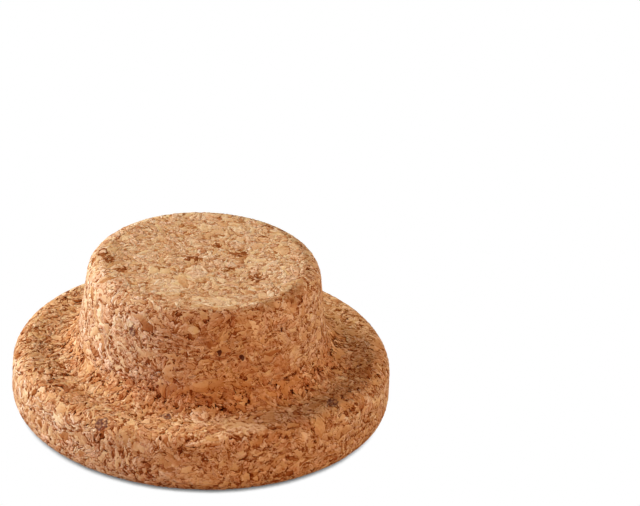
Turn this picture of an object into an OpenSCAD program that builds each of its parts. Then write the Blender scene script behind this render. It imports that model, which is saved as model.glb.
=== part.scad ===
// Flanged cork stopper for the mouth of a jar or crock.
// One turned piece of pressed cork granules: a broad round flange and a tapered plug.
// It stands on the outer face of its flange, plug upwards, axis on +Z, in millimetres.

/* [Flange] */
// Diameter across the rim of the flange
flange_d = 100; // [96:1:130]
// Thickness of the flange
flange_h = 17; // [14:0.5:22]
// Radius of the rounded edge round the outer face, which the stopper stands on
outer_edge_r = 5; // [1:0.5:6]
// Radius of the rounded edge on the plug's side of the rim
seat_edge_r = 5.5; // [1:0.5:6]

/* [Plug] */
// Diameter of the plug's end, measured where its side would meet its end face
plug_end_d = 61; // [40:0.5:62]
// Length of the plug, from the flat of the flange to the end face
plug_l = 26; // [18:0.5:28]
// Slope of the plug's side, in degrees from the axis
plug_draft = 6.5; // [0:0.5:7]
// Radius of the rounded edge round the plug's end
end_edge_r = 5; // [1:0.5:7]
// Radius of the hollow fillet at the root of the plug
root_r = 7; // [1:0.5:8]

/* [Hidden] */
$fn = 180;

flange_r = flange_d / 2;
plug_end_r = plug_end_d / 2;
total_h = flange_h + plug_l;

// How far the ends of the plug's straight side reach into the round edge and the fillet,
// so that each meets it in one clean line
seam = 0.001;

// Centre of the end edge's rounding: it touches the end face and the sloping side
end_edge_x = plug_end_r - end_edge_r * (1 - sin(plug_draft)) / cos(plug_draft);
end_edge_z = total_h - end_edge_r;

// Centre of the root's fillet: it touches the sloping side and the flat of the flange
root_z = flange_h + root_r;
root_x = plug_end_r + (root_r + (total_h - root_z) * sin(plug_draft)) / cos(plug_draft);

// The way square to the plug's side, outwards
side_out = [cos(plug_draft), sin(plug_draft)];

// Half section of the flange, both of its edges rounded
module flange_section() {
    polygon([
        [0, 0],
        [flange_r - outer_edge_r, 0],
        [flange_r, outer_edge_r],
        [flange_r, flange_h - seat_edge_r],
        [flange_r - seat_edge_r, flange_h],
        [0, flange_h]
    ]);
    translate([flange_r - outer_edge_r, outer_edge_r]) circle(r = outer_edge_r);
    translate([flange_r - seat_edge_r, flange_h - seat_edge_r]) circle(r = seat_edge_r);
}

// Half section of the plug, from the middle of the flange's thickness to the end face
module plug_section() {
    polygon([
        [0, flange_h / 2],
        [root_x, flange_h / 2],
        [root_x, flange_h],
        [root_x, root_z] - (root_r - seam) * side_out,
        [end_edge_x, end_edge_z] + (end_edge_r - seam) * side_out,
        [end_edge_x, total_h],
        [0, total_h]
    ]);
    translate([end_edge_x, end_edge_z]) circle(r = end_edge_r);
}

module stopper() {
    color("peru")
        rotate_extrude()
            difference() {
                union() {
                    flange_section();
                    plug_section();
                }
                translate([root_x, root_z]) circle(r = root_r);
            }
}

stopper();
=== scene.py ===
"""The looks of a flanged cork stopper: its turned body, the granules' relief and the cork."""
import math

import bmesh
import bpy
from mathutils import Matrix, Vector


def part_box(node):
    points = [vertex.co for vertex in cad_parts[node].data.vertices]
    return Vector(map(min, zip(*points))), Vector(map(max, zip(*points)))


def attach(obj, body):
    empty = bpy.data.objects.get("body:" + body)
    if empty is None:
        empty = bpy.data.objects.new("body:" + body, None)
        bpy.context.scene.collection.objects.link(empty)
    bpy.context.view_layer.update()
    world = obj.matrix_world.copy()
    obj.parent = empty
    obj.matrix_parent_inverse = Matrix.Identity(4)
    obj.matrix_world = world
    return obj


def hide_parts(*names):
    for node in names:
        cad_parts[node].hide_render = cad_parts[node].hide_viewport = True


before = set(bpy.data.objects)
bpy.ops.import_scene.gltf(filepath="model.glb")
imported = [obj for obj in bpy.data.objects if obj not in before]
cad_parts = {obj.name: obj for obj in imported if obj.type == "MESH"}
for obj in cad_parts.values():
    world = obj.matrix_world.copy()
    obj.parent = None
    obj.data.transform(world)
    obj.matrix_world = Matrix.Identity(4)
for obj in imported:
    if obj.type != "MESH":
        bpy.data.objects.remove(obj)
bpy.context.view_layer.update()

MM = 0.001

# The stopper's own sizes, in metres: what the frame's box gives, and its edges
box_low, box_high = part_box("stopper")
HEIGHT = box_high.z - box_low.z
FLANGE_R = (box_high.x - box_low.x) / 2
FLANGE_H = 17 * MM
OUTER_EDGE_R = 5 * MM
SEAT_EDGE_R = 5.5 * MM
PLUG_END_R = 30.5 * MM
PLUG_DRAFT = math.radians(6.5)
END_EDGE_R = 5 * MM
ROOT_R = 7 * MM

# How finely the body is turned, and how large its even faces are
ARC_STEPS = 10
TURN_STEPS = 360
WELD = 0.0001 * MM
FACE_SIZE = 0.55 * MM


class Sock:
    """A value in a node tree. Arithmetic on it adds Math nodes."""

    def __init__(self, socket):
        self.socket = socket

    def maths(self, operation, *values):
        inputs = dict(enumerate(values))
        return node(self.socket.id_data, "ShaderNodeMath", {"operation": operation}, inputs)

    def out(self, name):
        return Sock(self.socket.node.outputs[name])

    def __add__(self, other):
        return self.maths("ADD", self, other)

    def __radd__(self, other):
        return self.maths("ADD", other, self)

    def __sub__(self, other):
        return self.maths("SUBTRACT", self, other)

    def __rsub__(self, other):
        return self.maths("SUBTRACT", other, self)

    def __mul__(self, other):
        return self.maths("MULTIPLY", self, other)

    def __rmul__(self, other):
        return self.maths("MULTIPLY", other, self)

    def __truediv__(self, other):
        return self.maths("DIVIDE", self, other)

    def __gt__(self, other):
        return self.maths("GREATER_THAN", self, other)

    def __lt__(self, other):
        return self.maths("LESS_THAN", self, other)

    def least(self, other):
        return self.maths("MINIMUM", self, other)

    def most(self, other):
        return self.maths("MAXIMUM", self, other)


def node(tree, kind, settings, inputs, out=0):
    """Adds a node: its settings first, then the values or links of its sockets."""
    made = tree.nodes.new(kind)
    for name, value in settings.items():
        setattr(made, name, value)
    for name, value in inputs.items():
        if isinstance(value, Sock):
            tree.links.new(value.socket, made.inputs[name])
        else:
            made.inputs[name].default_value = value
    return Sock(made.outputs[out]) if made.outputs else None


def lathe_profile():
    """The body's half section as (radius, height) points, from the axis round to the axis."""
    def arc(x, z, radius, start, end):
        turns = [math.radians(start + (end - start) * i / ARC_STEPS) for i in range(ARC_STEPS + 1)]
        return [(x + radius * math.cos(a), z + radius * math.sin(a)) for a in turns]

    draft = math.degrees(PLUG_DRAFT)
    end_x = PLUG_END_R - END_EDGE_R * (1 - math.sin(PLUG_DRAFT)) / math.cos(PLUG_DRAFT)
    root_z = FLANGE_H + ROOT_R
    root_x = PLUG_END_R + (ROOT_R + (HEIGHT - root_z) * math.sin(PLUG_DRAFT)) / math.cos(PLUG_DRAFT)
    return [
        (0, 0),
        *arc(FLANGE_R - OUTER_EDGE_R, OUTER_EDGE_R, OUTER_EDGE_R, -90, 0),
        *arc(FLANGE_R - SEAT_EDGE_R, FLANGE_H - SEAT_EDGE_R, SEAT_EDGE_R, 0, 90),
        *arc(root_x, root_z, ROOT_R, 270, 180 + draft),
        *arc(end_x, HEIGHT - END_EDGE_R, END_EDGE_R, draft, 90),
        (0, HEIGHT),
    ]


def turned_body():
    """The plain lathe form, spun round the axis."""
    shape = bmesh.new()
    points = [shape.verts.new((r, 0, z)) for r, z in lathe_profile()]
    edges = [shape.edges.new(pair) for pair in zip(points, points[1:])]
    bmesh.ops.spin(shape, geom=points + edges, axis=(0, 0, 1), cent=(0, 0, 0),
                   angle=math.tau, steps=TURN_STEPS, use_merge=True)
    bmesh.ops.remove_doubles(shape, verts=shape.verts, dist=WELD)
    bmesh.ops.recalc_face_normals(shape, faces=shape.faces)
    mesh = bpy.data.meshes.new("cork_body")
    shape.to_mesh(mesh)
    shape.free()
    piece = bpy.data.objects.new("cork_body", mesh)
    bpy.context.collection.objects.link(piece)
    return piece


# The middle of a random colour, whose parts run from 0 to 1
CENTRE = (0.5, 0.5, 0.5)
WHITE = (1.0, 1.0, 1.0)


def vector(tree, operation, a, b):
    """Vector maths on two vectors, or on a vector and a number for SCALE."""
    inputs = {0: a, 3: b} if operation == "SCALE" else {0: a, 1: b}
    return node(tree, "ShaderNodeVectorMath", {"operation": operation}, inputs)


def length(tree, a):
    return node(tree, "ShaderNodeVectorMath", {"operation": "LENGTH"}, {0: a}, "Value")


def dot(tree, a, b):
    return node(tree, "ShaderNodeVectorMath", {"operation": "DOT_PRODUCT"}, {0: a, 1: b}, "Value")


def normalised(tree, a):
    return node(tree, "ShaderNodeVectorMath", {"operation": "NORMALIZE"}, {0: a})


def in_mm(tree, point):
    return vector(tree, "SCALE", point, 1 / MM)


def noise(tree, point, per_mm, detail=0, roughness=0.5, out=0):
    """Soft noise whose features are about 1 / per_mm millimetres across."""
    inputs = {"Vector": point, "Scale": per_mm, "Detail": detail, "Roughness": roughness}
    return node(tree, "ShaderNodeTexNoise", {}, inputs, out)


def ramp(tree, value, low, high):
    """0 at low, 1 at high, smooth between and level beyond. low may be the larger of the two."""
    inputs = {"Value": value, "From Min": low, "From Max": high}
    return node(tree, "ShaderNodeMapRange", {"interpolation_type": "SMOOTHSTEP"}, inputs)


def choose(mask, a, b):
    """a where mask is 1, b where it is 0."""
    return b + mask * (a - b)


def pick(mask, a, b):
    """The vector a where mask is 1, b where it is 0."""
    inputs = {0: mask, 4: b, 5: a}
    return node(mask.socket.id_data, "ShaderNodeMix", {"data_type": "VECTOR"}, inputs, 1)


def swirl(tree, point, per_mm, reach, detail=0):
    """The point moved about smoothly, up to about half of reach each way."""
    drift = noise(tree, point, per_mm, detail, out="Color")
    drift = vector(tree, "SUBTRACT", drift, CENTRE)
    return vector(tree, "ADD", point, vector(tree, "SCALE", drift, reach))


# The chips lap over one another like scales, and their free edges mostly point this way
UNDERSIDE = (0.2, -0.2, -0.35)
# Granules lie in clumps, and each is a middling chip or a few crumbs. Sizes are in millimetres
CLUMP = 6.0
MIDDLING = 3.1
CRUMB = 1.55
# How many times smaller the granules are along each of their clump's own directions
FLATNESS = (0.75, 0.75, 2.2)
# How far apart the clumps' own patterns are taken, so that no two are alike
APART = 90.0
# What share of the granules is crumbs
CRUMBLED = 0.5
# The size of the layers inside a granule, how flat they are, and how fine the strokes along them
LAYER = 1.0
LAYER_FLATNESS = (0.4, 0.4, 1.3)
STROKE_FLATNESS = (0.6, 0.6, 2.2)
# What share of the granules is plain, and how little a plain one shows its layers
PLAIN_SHARE = 0.35
PLAIN_SHOWN = 0.2
# About a full turn, in radians
FULL_TURN = 6.28


def cells(tree, point, size, under=UNDERSIDE):
    """Chips about size millimetres across, as a dictionary of what each one has.

    turn is a random direction, away the way from its middle, edge how far its edge is,
    side how far a point is on its low side, and X, Y and Z are chances from 0 to 1.
    """
    inputs = {"Vector": point, "Scale": 1 / size}
    near = node(tree, "ShaderNodeTexVoronoi", {"feature": "F1"}, inputs, "Color")
    edge = node(tree, "ShaderNodeTexVoronoi", {"feature": "DISTANCE_TO_EDGE"}, inputs, "Distance")
    away = vector(tree, "SUBTRACT", point, near.out("Position"))
    turn = vector(tree, "SUBTRACT", near, CENTRE)
    side = dot(tree, away, vector(tree, "ADD", turn, under))
    chance = node(tree, "ShaderNodeSeparateXYZ", {}, {0: near})
    chip = {"turn": turn, "away": away, "edge": edge * size, "side": side * (4 / size)}
    for name in "XYZ":
        chip[name] = chance.out(name)
    return chip


def turned(tree, way, chip):
    """A vector turned about a chip's own axis by its own angle."""
    inputs = {"Vector": way, "Axis": chip["turn"], "Angle": chip["Z"] * FULL_TURN}
    return node(tree, "ShaderNodeVectorRotate", {}, inputs)


def blend(mask, a, b):
    """The chip a where mask is 1, the chip b where it is 0, without its away."""
    chip = {name: choose(mask, a[name], b[name]) for name in ("edge", "side", "X", "Y", "Z")}
    chip["turn"] = pick(mask, a["turn"], b["turn"])
    return chip


def granules(tree, point):
    """The pressed cork granules at a point in millimetres."""
    bent = swirl(tree, swirl(tree, point, per_mm=0.25, reach=3.0), per_mm=0.9, reach=1.7, detail=1)
    clump = cells(tree, bent, CLUMP)
    flat = turned(tree, clump["away"], clump)
    flat = vector(tree, "ADD", flat, vector(tree, "SCALE", clump["turn"], APART))
    flat = vector(tree, "MULTIPLY", flat, FLATNESS)
    under = turned(tree, UNDERSIDE, clump)
    middling = cells(tree, flat, MIDDLING, under)
    crumb = cells(tree, flat, CRUMB, under)
    middling["edge"] = clump["edge"].least(middling["edge"])
    crumb["edge"] = middling["edge"].least(crumb["edge"])
    return blend(middling["Z"] > 1 - CRUMBLED, crumb, middling)


# A crack opens where soft noise passes a level, which a chip's low side and broad patches help it
# to do. CLOSED is the level that almost none of it passes, and OPENING how far a share of 1 lowers it
LOW_SIDE_HELP = 0.12
PATCH_HELP = 0.3
CLOSED = 0.62
OPENING = 0.25
SOFTNESS = 0.06
# How near a chip's edge a crack is at its deepest, in millimetres
CRACK_CORE = 0.03


def crack(tree, point, chip, width, share):
    """1 in the crack along the low side of a chip, 0 on the chip; share is how much is cracked."""
    ragged = noise(tree, point, per_mm=0.7, detail=2)
    patchy = noise(tree, point, per_mm=0.12, detail=1) - 0.5
    helped = ragged + LOW_SIDE_HELP * chip["side"] + PATCH_HELP * patchy
    level = CLOSED - OPENING * share
    cracked = ramp(tree, helped, level, level + SOFTNESS)
    return (1 - ramp(tree, chip["edge"], CRACK_CORE, width)) * cracked


def lip_highlight(tree, chip, width):
    """1 on the raised side of a chip, just inside its edge, where a painted highlight goes."""
    return (1 - ramp(tree, chip["edge"], 0.1, width)) * ramp(tree, chip["side"], -0.2, -0.9)


# How deep the relief goes, in millimetres: round the raised chips, in cracks and in broad hollows
CHIP_DEPTH = 0.12
CRACK_DEPTH = 0.08
HOLLOW_DEPTH = 0.15


def relief(body):
    """Cuts the granules' relief into the turned body, always inwards."""
    tree = bpy.data.node_groups.new("relief", "GeometryNodeTree")
    tree.interface.new_socket("Geometry", in_out="INPUT", socket_type="NodeSocketGeometry")
    tree.interface.new_socket("Geometry", in_out="OUTPUT", socket_type="NodeSocketGeometry")
    source = node(tree, "NodeGroupInput", {}, {})
    place = in_mm(tree, node(tree, "GeometryNodeInputPosition", {}, {}))
    normal = node(tree, "GeometryNodeInputNormal", {}, {})
    chip = granules(tree, place)
    rise = chip["Y"] * ramp(tree, chip["edge"], 0.0, 0.4)
    gap = crack(tree, place, chip, width=0.45, share=0.5)
    hollow = noise(tree, place, per_mm=0.07, detail=1)
    depth = CHIP_DEPTH * (1 - rise) + CRACK_DEPTH * gap + HOLLOW_DEPTH * hollow
    move = vector(tree, "SCALE", normal, depth * -MM)
    moved = node(tree, "GeometryNodeSetPosition", {}, {"Geometry": source, "Offset": move})
    node(tree, "NodeGroupOutput", {}, {0: moved})
    cut = body.modifiers.new("relief", "NODES")
    cut.node_group = tree


def even_faces(body):
    """Gives the body small even faces."""
    even = body.modifiers.new("even", "REMESH")
    even.mode = "VOXEL"
    even.voxel_size = FACE_SIZE
    even.use_smooth_shade = True


def set_modifiers(body):
    """Makes what the modifiers give the body's own mesh."""
    graph = bpy.context.evaluated_depsgraph_get()
    mesh = bpy.data.meshes.new_from_object(body.evaluated_get(graph))
    body.modifiers.clear()
    body.data = mesh


# The cork's middle colour, and how fast each channel falls as the cork gets darker
CORK = (0.510, 0.297, 0.147)
DARKENING = (0.76, 1.42, 2.02)
# The palest tone there is, the tone from which the cork gets paler more slowly, and how slowly
PALEST = 2.2
EASED_FROM = 1.4
EASED = 0.5
TONE_STEPS = 10

# Height of the plug's end, in millimetres
TOP = HEIGHT / MM
# The larger marks, as (middle, half size) in millimetres
PALE_FLAKES = [
    ((-10, -15, TOP), (5, 5, 3)),
    ((-15, 2, TOP), (3, 3, 3)),
    ((3, -22, TOP), (7, 3, 3)),
    ((-2, -7, TOP), (3, 5, 3)),
    ((17, -30, 19), (4, 3, 3)),
    ((25, -21, 26), (2, 3, 4)),
    ((0, -33, 24), (3, 3, 1)),
    ((-30, -17, 19), (3, 3, 3)),
    ((-14, -48, 13), (3, 2, 2)),
    ((12, -42, 17), (6, 3, 2)),
    ((1, -50, 5), (4, 3, 2)),
]
CREAM_CHIPS = [
    ((-19, -25, 37), (1.2, 1.5, 1.0)),
    ((-2, -31, 39), (1.6, 1.5, 1.0)),
]
GREY_FLAKES = [
    ((-25, 3, TOP), (4, 7, 4)),
    ((24, -15, TOP), (3, 4, 3)),
    ((17, -22, TOP), (2, 3, 3)),
    ((-19, -46, 15), (4, 3, 3)),
]
RED_FLAKES = [
    ((21, -25, 26), (2, 3, 3)),
]
BARK = [
    ((-25, -41, 16), (2.2, 2.0, 2.2)),
    ((-18, -26, 35), (0.9, 1.5, 2.0)),
    ((-8, -38, 17), (1.5, 1.5, 1.0)),
    ((35, -27, 17), (1.6, 2.2, 1.5)),
]
SPECKS = [
    ((5, -31, 33), (0.7, 1.5, 0.8)),
    ((11, -30, 31), (0.7, 1.5, 0.9)),
    ((21, -24, 36), (0.6, 1.5, 0.8)),
]
PITS = [
    ((-27, 3, TOP), (1.5, 2.5, 1.5)),
    ((-25, -1, TOP), (1.5, 2.5, 1.5)),
    ((-22, -6, TOP), (2.0, 2.0, 1.0)),
    ((-12, -5, TOP), (2.5, 1.5, 1.0)),
    ((-3, 1, TOP), (3.0, 1.6, 1.0)),
    ((3, 9, TOP), (1.5, 1.6, 1.0)),
    ((9, 5, TOP), (2.5, 1.6, 1.0)),
    ((15, 14, TOP), (1.8, 1.6, 1.0)),
    ((6, -4, TOP), (2.5, 1.6, 1.0)),
    ((14, -8, TOP), (2.5, 2.5, 1.0)),
]
# Each kind of mark: its tone, how much the cork's own tone still shows in it, and its hue
MARKS = [
    (PALE_FLAKES, 1.16, 0.7, 0.5),
    (CREAM_CHIPS, 1.50, 0.4, 0.8),
    (GREY_FLAKES, 0.86, 0.6, 1.1),
    (RED_FLAKES, 0.95, 0.5, -1.0),
]
# Where a mark and the ring round it fade out and are full, as shares of the mark's half size
MARK_EDGE = (1.0, 0.9)
RING_EDGE = (1.3, 1.0)
BARK_COLOUR = (0.12, 0.045, 0.035)
SPECK_COLOUR = (0.06, 0.010, 0.008)
# How much of the cork they hide
HIDING = 0.9
# What granules of each hue and blush multiply the colour by
RUSTY = (1.03, 0.95, 0.91)
GREYISH = (0.98, 1.02, 1.05)
GOLDEN = (1.00, 1.01, 0.89)
PINKISH = (1.01, 0.98, 1.13)
# How much of a layer's hue and blush is its granule's
CHIP_SHARE = 0.7
# What the seat round the plug's foot multiplies the colour by: painted shade, warmer, where the plug
# shades the flange
SEAT_PAINTED_TINT = (1.05, 0.94, 0.82)

# The usual tone, and how far each of these moves it, from its least to its most
USUAL_TONE = 1.065
CHIP_TONE = 0.36
LAYER_TONE = 0.16
GRAIN_TONE = 0.38
STROKE_TONE = 0.38
BROAD_TONE = 0.40
# A few chips are odd ones: what share of them is pale or dark, and how much paler or darker
PALE_SHARE, PALE_TONE = 0.08, 0.20
DARK_SHARE, DARK_TONE = 0.06, 0.30
# What the painted shade on the low side of a chip or layer takes off, leaving its other side lighter,
# and what the painted highlight on its raised edge adds
CHIP_SIDE_SHADE = 0.10
LAYER_SIDE_SHADE = 0.06
CHIP_LIP_HIGHLIGHT = 0.08
LAYER_LIP_HIGHLIGHT = 0.05
# What share of the tone is lost in cracks between chips and between layers, in the rings round
# the marks, in the pits and in the pores
GAP_SHADE = 0.68
SEAM_SHADE = 0.50
RING_SHADE = 0.15
PIT_SHADE = 0.65
PORE_SHADE = 0.45
# What the parts of the stopper take off the tone or add to it
FLANGE_DARKER = 0.06
PLUG_PALER = 0.04
# Painted shade on the seat round the plug's foot
SEAT_PAINTED_SHADE = 0.03
# Painted shade in the crease where the plug rises from the flange
FOOT_PAINTED_SHADE = 0.16
# How much evener and nearer to the middle tone the sanded end is
SANDED = 0.3

# The fine relief that only the light shows: its depth, and each thing's share of it
FINE_DEPTH = 0.21 * MM
CHIP_STEP = 0.9
LAYER_STEP = 0.4
STROKE_STEP = 0.3
GRAIN_STEP = 0.5
GAP_STEP = 0.2
SEAM_STEP = 0.1
PORE_STEP = 0.2
# How far the chips, their layers and the edge of the plug's end tip their own way
CHIP_LEAN = 0.12
LAYER_LEAN = 0.10
EDGE_LEAN = 0.45

# The soft borders of the stopper's parts, each from where it is outside to where it is inside:
# heights above the foot, in millimetres
SEAT_FROM, SEAT_TO = (13.0, 16.5), (24.0, 18.0)
FOOT_FROM, FOOT_TO = (17.0, 18.0), (26.0, 20.0)
PLUG_FROM = (17.0, 22.0)
EDGE_FROM = (37.0, 40.0)
END_FROM = (40.0, 41.0)
# and distances from the axis
EDGE_WITHIN = (26.0, 26.6)
END_WITHIN = (26.8, 26.0)


def cork_colour(tree, tone, hue, blush):
    """The cork's colour. Tone 1 is its middle one, and less is darker and redder.

    Hue 0 is rusty and 1 greyish; blush 0 is golden and 1 pinkish.
    """
    made = tree.nodes.new("ShaderNodeValToRGB")
    stops = made.color_ramp.elements
    while len(stops) < TONE_STEPS + 1:
        stops.new(0.5)
    for step, stop in enumerate(stops):
        stop.position = step / TONE_STEPS
        level = step / TONE_STEPS * PALEST
        eased = min(level, EASED_FROM + (level - EASED_FROM) * EASED)
        stop.color = (*[c * eased ** fall for c, fall in zip(CORK, DARKENING)], 1)
    tree.links.new((tone / PALEST).socket, made.inputs[0])
    tinted = vector(tree, "MULTIPLY", pick(hue, GREYISH, RUSTY), pick(blush, PINKISH, GOLDEN))
    return vector(tree, "MULTIPLY", Sock(made.outputs[0]), tinted)


def reach_of(tree, place, listed):
    """How far off the nearest of the marks listed is: 0 at its middle and 1 at its edge."""
    nearest = None
    for middle, half in listed:
        away = vector(tree, "DIVIDE", vector(tree, "SUBTRACT", place, middle), half)
        away = length(tree, away)
        nearest = away if nearest is None else nearest.least(away)
    return nearest


def inside(tree, place, listed):
    """1 inside the marks listed and 0 outside."""
    return ramp(tree, reach_of(tree, place, listed), *MARK_EDGE)


def layers(tree, place, chip):
    """The thin layers of each granule, which lie turned its own way, as chips are.

    shown is how far the granule shows them, strokes are the fine lines along them,
    and seam is 1 in the cracks between them.
    """
    swung = swirl(tree, turned(tree, place, chip), per_mm=0.7, reach=1.6)
    layer = cells(tree, vector(tree, "MULTIPLY", swung, LAYER_FLATNESS), LAYER)
    strokes = noise(tree, vector(tree, "MULTIPLY", swung, STROKE_FLATNESS), per_mm=1.0, detail=1)
    layer["strokes"] = ramp(tree, strokes, 0.3, 0.7) - 0.5
    layer["shown"] = choose(chip["Y"] > PLAIN_SHARE, 1.0, PLAIN_SHOWN)
    layer["seam"] = crack(tree, swung, layer, width=0.28, share=0.22) * layer["shown"]
    return layer


def grain_tone(tree, place, chip, layer, grain):
    """The tone that the granules, their layers and their cracks give a place, with painted shade and
    highlight across each chip and layer.
    """
    shown = layer["shown"]
    broad = noise(tree, place, per_mm=0.06, detail=2)
    tone = USUAL_TONE + PALE_TONE * (chip["X"] > 1 - PALE_SHARE) - DARK_TONE * (chip["X"] < DARK_SHARE)
    tone = tone + CHIP_TONE * (chip["X"] - 0.5) + LAYER_TONE * (layer["X"] - 0.5) * shown
    tone = tone + GRAIN_TONE * (grain - 0.5) * (0.4 + 0.6 * shown)
    tone = tone + STROKE_TONE * layer["strokes"] * shown + BROAD_TONE * (broad - 0.5)
    # Painted shade on each chip's and layer's low side, lighter on the other side, and a painted
    # highlight on its raised edge
    tone = tone - CHIP_SIDE_SHADE * chip["side"] - LAYER_SIDE_SHADE * layer["side"] * shown
    tone = tone + CHIP_LIP_HIGHLIGHT * lip_highlight(tree, chip, 0.5) + LAYER_LIP_HIGHLIGHT * lip_highlight(tree, layer, 0.4) * shown
    return tone * (1 - GAP_SHADE * chip["gap"]) * (1 - SEAM_SHADE * layer["seam"])


def parts(tree, place, rough):
    """How far a place belongs to each part of the stopper, and the way outwards from the axis.

    The edge of the plug's end begins, and its flat ends, at a line made ragged by the granules.
    """
    up = node(tree, "ShaderNodeSeparateXYZ", {}, {0: place}, "Z")
    out = vector(tree, "MULTIPLY", rough, (1, 1, 0))
    across = length(tree, out)
    return {
        "outward": normalised(tree, out),
        # The seat band carries painted shade, darker and warmer, round the plug's foot
        "seat": ramp(tree, up, *SEAT_FROM) * ramp(tree, up, *SEAT_TO),
        # The foot band carries painted shade in the crease at the plug's root
        "foot": ramp(tree, up, *FOOT_FROM) * ramp(tree, up, *FOOT_TO),
        "plug": ramp(tree, up, *PLUG_FROM),
        "edge": ramp(tree, up, *EDGE_FROM) * ramp(tree, across, *EDGE_WITHIN),
        "end": ramp(tree, up, *END_FROM) * ramp(tree, across, *END_WITHIN),
    }


def part_tone(tone, part):
    """The tone as the parts of the stopper change it, with painted shade on the seat and in the crease
    at the plug's foot.
    """
    tone = tone - FLANGE_DARKER + PLUG_PALER * part["plug"]
    tone = tone - SEAT_PAINTED_SHADE * part["seat"] - FOOT_PAINTED_SHADE * part["foot"]
    return tone + SANDED * part["end"] * (1.0 - tone)


def marked(tree, place, tone, hue):
    """The tone and hue with the larger marks laid over them, each inside a thin darker ring."""
    for listed, level, shown, tint in MARKS:
        reach = reach_of(tree, place, listed)
        mark = ramp(tree, reach, *MARK_EDGE)
        ringed = ramp(tree, reach, *RING_EDGE)
        tone = tone * (1 - RING_SHADE * (ringed - mark))
        tone = choose(mark, level + shown * (tone - 1.0), tone)
        hue = choose(mark, tint, hue)
    return tone, hue


def cork_shade(tree, tone, hue, blush, seat, grain, rough):
    """The cork's colour, with painted warm shade on the seat, and its bark and specks."""
    with_seat_shade = vector(tree, "MULTIPLY", cork_colour(tree, tone, hue, blush), pick(seat, SEAT_PAINTED_TINT, WHITE))
    bark = inside(tree, rough, BARK) * ramp(tree, grain, 0.75, 0.35) * HIDING
    specks = inside(tree, rough, SPECKS) * HIDING
    return pick(specks, SPECK_COLOUR, pick(bark, BARK_COLOUR, with_seat_shade))


def fine_relief(tree, chip, layer, grain, pore):
    """The way that the surface faces with the fine relief of chips, layers, lines and pores."""
    height = CHIP_STEP * chip["Y"] * ramp(tree, chip["edge"], 0.0, 0.5)
    height = height + LAYER_STEP * layer["Y"] * ramp(tree, layer["edge"], 0.0, 0.5) * layer["shown"]
    height = height + STROKE_STEP * layer["strokes"] + GRAIN_STEP * grain
    height = height - GAP_STEP * chip["gap"] - SEAM_STEP * layer["seam"] - PORE_STEP * pore
    inputs = {"Height": height, "Strength": 1.0, "Distance": FINE_DEPTH}
    return node(tree, "ShaderNodeBump", {}, inputs)


def lean(tree, normal, way, amount):
    """The normal tipped towards a way, so that the light catches it as it would that way."""
    return vector(tree, "ADD", normal, vector(tree, "SCALE", way, amount))


def cork():
    """Pressed cork granules, each with its own tone, layers, cracks and way of lying."""
    material = bpy.data.materials.new("cork")
    material.use_nodes = True
    tree = material.node_tree
    shader = tree.nodes["Principled BSDF"]
    place = in_mm(tree, node(tree, "ShaderNodeTexCoord", {}, {}, "Object"))
    rough = swirl(tree, place, per_mm=0.6, reach=1.8, detail=1)
    chip = granules(tree, place)
    chip["gap"] = crack(tree, place, chip, width=0.42, share=0.26)
    layer = layers(tree, place, chip)
    grain = noise(tree, place, per_mm=1.3, detail=1, roughness=0.6)
    pore = ramp(tree, noise(tree, place, per_mm=0.8, detail=2, roughness=0.6), 0.34, 0.30)
    part = parts(tree, place, rough)

    tone = part_tone(grain_tone(tree, place, chip, layer, grain), part)
    hue = choose(CHIP_SHARE, chip["Z"], layer["Y"])
    blush = choose(CHIP_SHARE, chip["Y"], layer["Z"])
    tone, hue = marked(tree, rough, tone, hue)
    pitted = inside(tree, rough, PITS) * ramp(tree, chip["edge"], 0.45, 0.15)
    tone = tone * (1 - PIT_SHADE * pitted) * (1 - PORE_SHADE * pore)
    shade = cork_shade(tree, tone, hue, blush, part["seat"], grain, rough)
    tree.links.new(shade.socket, shader.inputs["Base Color"])
    shader.inputs["Roughness"].default_value = 0.9
    shader.inputs["Specular IOR Level"].default_value = 0.0

    normal = fine_relief(tree, chip, layer, grain, pore)
    normal = lean(tree, normal, chip["turn"], CHIP_LEAN)
    normal = lean(tree, normal, layer["turn"], LAYER_LEAN * layer["shown"])
    normal = lean(tree, normal, part["outward"], EDGE_LEAN * part["edge"])
    tree.links.new(normalised(tree, normal).socket, shader.inputs["Normal"])
    return material


DAYLIGHT = (0.91, 1.0, 1.0)
SKYLIGHT = (0.70, 0.77, 1.0)
LAMPLIGHT = (1.0, 0.42, 0.09)
# Each lamp's name, azimuth and elevation in degrees, strength and colour. Azimuth 0 is the right
# and 90 the back; strength 1 shows a colour as written
LAMPS = [
    ("back_left", 150, 33, 1.30, DAYLIGHT),
    ("left", 180, 15, 1.00, SKYLIGHT),
    ("back_right", 22, 36, 0.54, DAYLIGHT),
    ("right_front", 330, 15, 0.50, LAMPLIGHT),
    ("left_front", 240, 15, 0.32, LAMPLIGHT),
]
LAMP_SPREAD = math.radians(30)


def lamp(name, azimuth, elevation, strength, colour):
    """A soft lamp, so far off that its light is the same everywhere."""
    data = bpy.data.lights.new(name, "SUN")
    data.energy = strength * math.pi
    data.angle = LAMP_SPREAD
    data.color = colour
    light = bpy.data.objects.new(name, data)
    turn, lift = math.radians(azimuth), math.radians(elevation)
    level = math.cos(lift)
    towards = Vector((level * math.cos(turn), level * math.sin(turn), math.sin(lift)))
    light.rotation_euler = towards.to_track_quat("Z", "Y").to_euler()
    bpy.context.collection.objects.link(light)


def seen_straight(tree):
    """1 for what is seen straight, in gloss or through glass; 0 for the light on the object."""
    rays = node(tree, "ShaderNodeLightPath", {}, {}, "Is Camera Ray")
    return rays.most(rays.out("Is Glossy Ray")).most(rays.out("Is Transmission Ray"))


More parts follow.
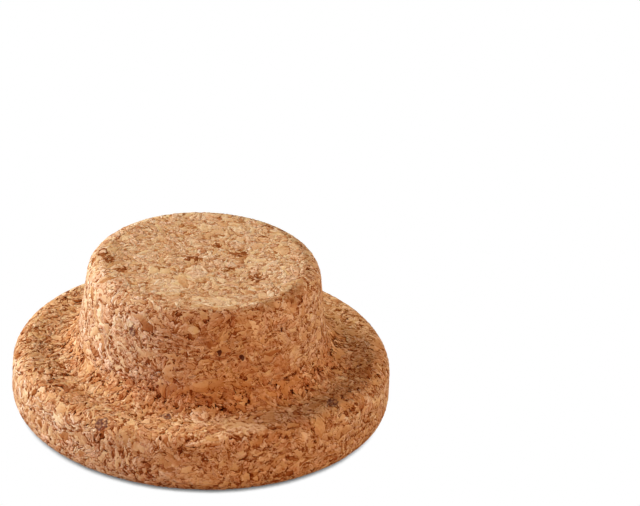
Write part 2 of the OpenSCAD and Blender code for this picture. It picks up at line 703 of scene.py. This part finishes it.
def light_up():
    """White surroundings, which give the object no light of their own, and the lamps."""
    scene = bpy.context.scene
    scene.view_settings.view_transform = "Standard"
    world = bpy.data.worlds.new("world")
    scene.world = world
    world.use_nodes = True
    tree = world.node_tree
    sky = tree.nodes["Background"]
    sky.inputs["Color"].default_value = (*WHITE, 1)
    tree.links.new(seen_straight(tree).socket, sky.inputs["Strength"])
    for each in LAMPS:
        lamp(*each)


FLOOR_SIZE = 4.0
FLOOR_GREY = 0.55
# How far the shadow round the foot reaches, and how dark it gets
SHADOW_REACH = 1.7 * MM
SHADOW = (0.1, 0.1, 0.1)
# How open the floor is to the sky where the shadow is darkest, and where it ends
SHADOW_OPENNESS = (0.05, 0.6)


def floor():
    """A floor seen as white, with a narrow soft shadow round the foot of the stopper."""
    shape = bmesh.new()
    bmesh.ops.create_grid(shape, x_segments=1, y_segments=1, size=FLOOR_SIZE / 2)
    mesh = bpy.data.meshes.new("floor")
    shape.to_mesh(mesh)
    shape.free()
    sheet = bpy.data.objects.new("floor", mesh)
    bpy.context.collection.objects.link(sheet)
    material = bpy.data.materials.new("floor")
    material.use_nodes = True
    tree = material.node_tree
    shader = tree.nodes["Principled BSDF"]
    shader.inputs["Base Color"].default_value = (FLOOR_GREY, FLOOR_GREY, FLOOR_GREY, 1)
    shader.inputs["Roughness"].default_value = 1.0
    shader.inputs["Specular IOR Level"].default_value = 0.0
    inputs = {"Distance": SHADOW_REACH}
    openness = node(tree, "ShaderNodeAmbientOcclusion", {"samples": 8}, inputs, "AO")
    clear = ramp(tree, openness, *SHADOW_OPENNESS)
    glow = node(tree, "ShaderNodeEmission", {}, {"Color": pick(clear, WHITE, SHADOW)})
    lit = Sock(shader.outputs[0])
    shown = node(tree, "ShaderNodeMixShader", {}, {0: seen_straight(tree), 1: lit, 2: glow})
    tree.links.new(shown.socket, tree.nodes["Material Output"].inputs["Surface"])
    mesh.materials.append(material)


# The camera: how far it looks down and leans, in radians, how far off it is, and how far the middle
# of its view lies to the right of the stopper's foot and above it, in metres
PITCH = math.radians(28.34)
ROLL = 0.0394
DISTANCE = 2.3857
ASIDE = 0.03181
ABOVE = 0.03979
# Its lens and sensor, in millimetres
LENS = 506.25
SENSOR = 36


def aim_camera():
    """A long lens, looking down on the stopper, which stands low and to the left in the view."""
    forward = Vector((0, math.cos(PITCH), -math.sin(PITCH)))
    level = Vector((1, 0, 0))
    upright = level.cross(forward)
    right = math.cos(ROLL) * level + math.sin(ROLL) * upright
    up = math.cos(ROLL) * upright - math.sin(ROLL) * level
    place = right * ASIDE + up * ABOVE - forward * DISTANCE
    data = bpy.data.cameras.new("camera")
    data.sensor_width = SENSOR
    data.lens = LENS
    data.clip_start = 0.1
    data.clip_end = 50
    camera = bpy.data.objects.new("camera", data)
    turn = Matrix((right, up, -forward)).transposed().to_4x4()
    camera.matrix_world = Matrix.Translation(place) @ turn
    bpy.context.collection.objects.link(camera)
    bpy.context.scene.camera = camera


body = turned_body()
even_faces(body)
set_modifiers(body)
relief(body)
set_modifiers(body)
body.data.materials.append(cork())
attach(body, "root")
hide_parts("stopper")
floor()
aim_camera()
light_up()
